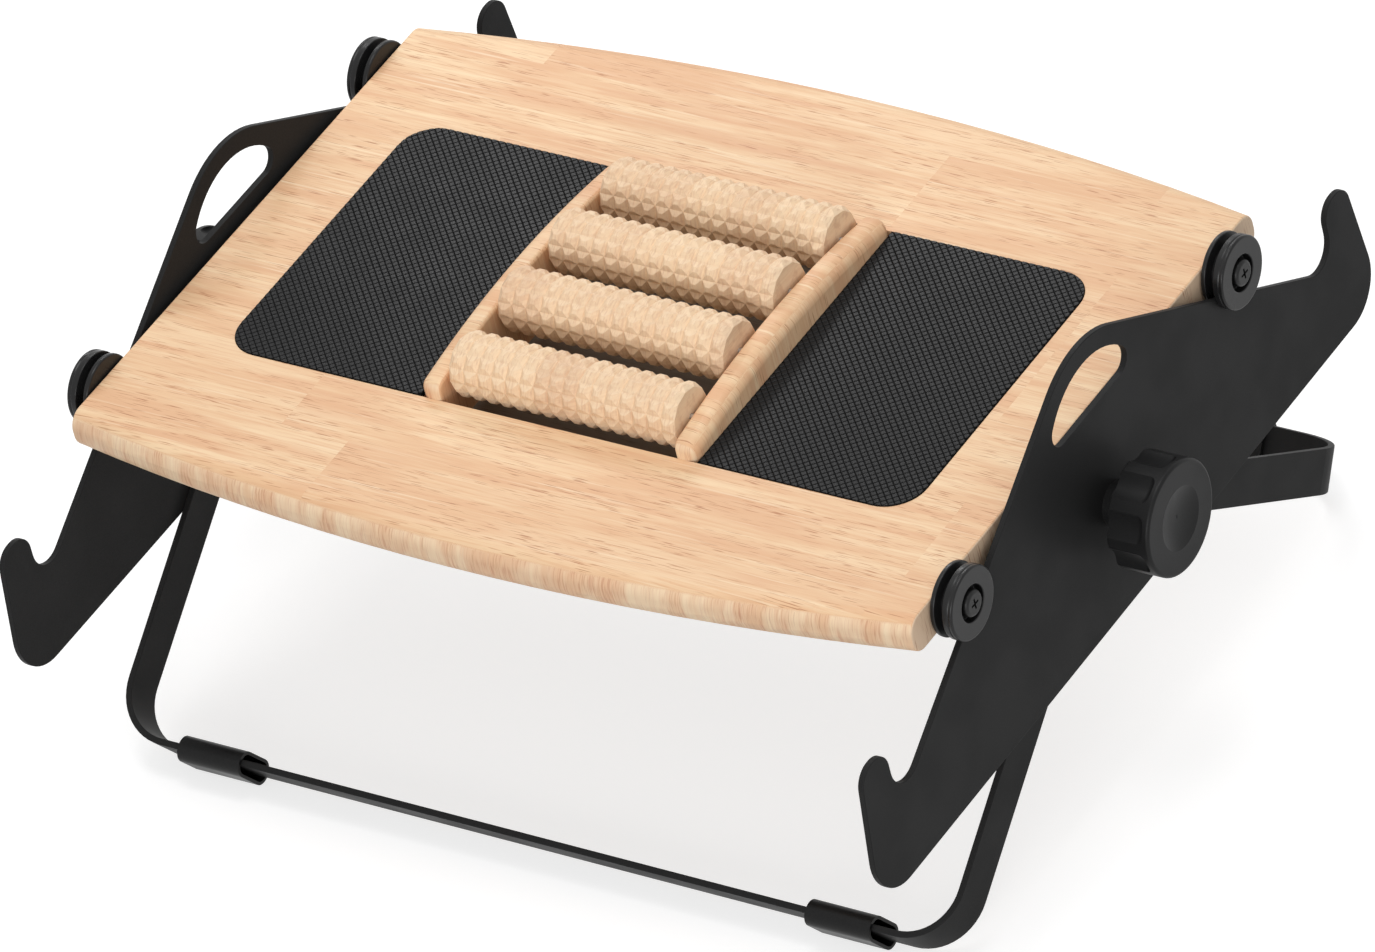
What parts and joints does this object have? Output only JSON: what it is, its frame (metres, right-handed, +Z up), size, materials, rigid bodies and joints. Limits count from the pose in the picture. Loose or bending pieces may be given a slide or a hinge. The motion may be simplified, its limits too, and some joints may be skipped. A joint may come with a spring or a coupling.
{
  "type": "rocking footrest",
  "caption": "Under-desk footrest: a wooden board with pyramid-toothed massage rollers and embossed mats rocks on grooved wheels over black steel side plates and folding leg frames",
  "frame": {"origin": "on the floor under the middle of the footrest", "axes": "X to the right along the length between the knobs, Y to the back, away from the sitter, Z up"},
  "size_m": [0.529, 0.435, 0.2236],
  "materials": {
    "board_wood": "light rubberwood with a fine straight grain, satin clear lacquer",
    "roller_wood": "light rubberwood, sanded and left matt",
    "floor_wood": "thin plywood panel in the shadow of the rollers",
    "mat_rubber": "black sheet with an embossed diamond pattern",
    "frame_paint": "fine satin black powder coat on steel",
    "wheel_plastic": "polished black nylon",
    "knob_plastic": "fine-grained black plastic",
    "sleeve_rubber": "smooth black rubber",
    "bush_nylon": "black nylon",
    "black_steel": "black oxide screw",
    "bright_steel": "zinc-plated steel"
  },
  "bodies": {
    "stand": {"left_side_plate": "frame_paint", "right_side_plate": "frame_paint", "knob_washers": "bush_nylon"},
    "rocking_link": {"left_pivot_bush": "bush_nylon", "right_pivot_bush": "bush_nylon"},
    "board": {"board": "board_wood", "left_mat": "mat_rubber", "right_mat": "mat_rubber", "left_cheek": "board_wood", "right_cheek": "board_wood", "bay_floor": "floor_wood", "floor_screws": "bright_steel", "edge_inserts": "bright_steel", "wheel_bolts": "black_steel", "wheel_washers": "bush_nylon", "roller_1_rod": "bright_steel", "roller_2_rod": "bright_steel", "roller_3_rod": "bright_steel", "roller_4_rod": "bright_steel"},
    "front_leg": {"front_leg_frame": "frame_paint", "front_left_sleeve": "sleeve_rubber", "front_right_sleeve": "sleeve_rubber", "pivot_nuts": "bright_steel", "leg_washers": "bush_nylon"},
    "rear_leg": {"rear_leg_frame": "frame_paint", "rear_left_sleeve": "sleeve_rubber", "rear_right_sleeve": "sleeve_rubber"},
    "left_knob": {"left_knob": "knob_plastic", "left_knob_stud": "bright_steel"},
    "right_knob": {"right_knob": "knob_plastic", "right_knob_stud": "bright_steel"},
    "front_left_wheel": {"front_left_wheel": "wheel_plastic"},
    "front_right_wheel": {"front_right_wheel": "wheel_plastic"},
    "rear_left_wheel": {"rear_left_wheel": "wheel_plastic"},
    "rear_right_wheel": {"rear_right_wheel": "wheel_plastic"},
    "roller_1": {"roller_1": "roller_wood"},
    "roller_2": {"roller_2": "roller_wood"},
    "roller_3": {"roller_3": "roller_wood"},
    "roller_4": {"roller_4": "roller_wood"}
  },
  "joints": [
    {"name": "board_rock", "type": "hinge", "parent": "rocking_link", "child": "board", "pos_m": [0, 0, 0.07754], "axis": [1, 0, 0], "range_deg": [-54.6, 54.6]},
    {"name": "rocking_link_swing", "type": "hinge", "parent": "stand", "child": "rocking_link", "pos_m": [0, 0, 0.1349], "axis": [1, 0, 0], "range_deg": [-34.7, 34.7]},
    {"name": "front_leg_swing", "type": "hinge", "parent": "stand", "child": "front_leg", "pos_m": [0, 0, 0.1349], "axis": [1, 0, 0], "range_deg": [-20, 24]},
    {"name": "rear_leg_swing", "type": "hinge", "parent": "stand", "child": "rear_leg", "pos_m": [0, 0, 0.1349], "axis": [1, 0, 0], "range_deg": [-24, 20]},
    {"name": "left_knob_turn", "type": "hinge", "parent": "stand", "child": "left_knob", "pos_m": [-0.2535, 0, 0.1349], "axis": [-1, 0, 0], "continuous": true},
    {"name": "right_knob_turn", "type": "hinge", "parent": "stand", "child": "right_knob", "pos_m": [0.2535, 0, 0.1349], "axis": [1, 0, 0], "continuous": true},
    {"name": "front_left_wheel_spin", "type": "hinge", "parent": "board", "child": "front_left_wheel", "pos_m": [-0.22885, -0.1176, 0.17451], "axis": [-1, 0, 0], "continuous": true},
    {"name": "front_right_wheel_spin", "type": "hinge", "parent": "board", "child": "front_right_wheel", "pos_m": [0.22885, -0.1176, 0.17451], "axis": [1, 0, 0], "continuous": true},
    {"name": "rear_left_wheel_spin", "type": "hinge", "parent": "board", "child": "rear_left_wheel", "pos_m": [-0.22885, 0.1176, 0.17451], "axis": [-1, 0, 0], "continuous": true},
    {"name": "rear_right_wheel_spin", "type": "hinge", "parent": "board", "child": "rear_right_wheel", "pos_m": [0.22885, 0.1176, 0.17451], "axis": [1, 0, 0], "continuous": true},
    {"name": "roller_1_spin", "type": "hinge", "parent": "board", "child": "roller_1", "pos_m": [0, 0.064, 0.19121], "axis": [1, 0, 0], "continuous": true},
    {"name": "roller_2_spin", "type": "hinge", "parent": "board", "child": "roller_2", "pos_m": [0, 0.0214, 0.19501], "axis": [1, 0, 0], "continuous": true},
    {"name": "roller_3_spin", "type": "hinge", "parent": "board", "child": "roller_3", "pos_m": [0, -0.0214, 0.19501], "axis": [1, 0, 0], "continuous": true},
    {"name": "roller_4_spin", "type": "hinge", "parent": "board", "child": "roller_4", "pos_m": [0, -0.064, 0.19121], "axis": [1, 0, 0], "continuous": true}
  ],
  "couplings": [
    {"joint": "rocking_link_swing", "follows": "board_rock", "ratio": -0.63387}
  ]
}
